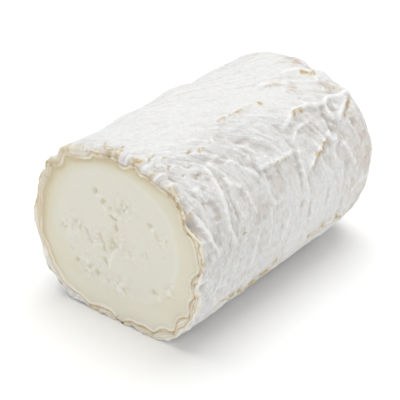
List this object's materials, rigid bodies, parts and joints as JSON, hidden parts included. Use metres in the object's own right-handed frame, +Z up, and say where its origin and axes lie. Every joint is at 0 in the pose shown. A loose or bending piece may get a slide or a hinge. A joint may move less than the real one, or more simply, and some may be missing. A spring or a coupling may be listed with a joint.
{
  "type": "goat cheese log",
  "caption": "Small ripened goat's-milk cheese log lying on its side, with a white wrinkled bloomy rind and one flat cut end showing the cream-coloured paste.",
  "frame": {"origin": "middle of the bounding box, at the height of the surface that the log rests on", "axes": "+Y along the log from the cut end to the uncut end, +Z up, +X to the log's right side as seen from the cut end"},
  "size_m": [0.065, 0.091, 0.0546],
  "materials": {
    "rind": "matte velvety white mould over a wrinkled rind, with tan flecks along the folds and the cut edge",
    "paste": "smooth moist cream-coloured cut cheese, a little translucent, with a deeper yellow band next to the rind"
  },
  "bodies": {
    "root": {"cheese": "rind"}
  },
  "joints": []
}
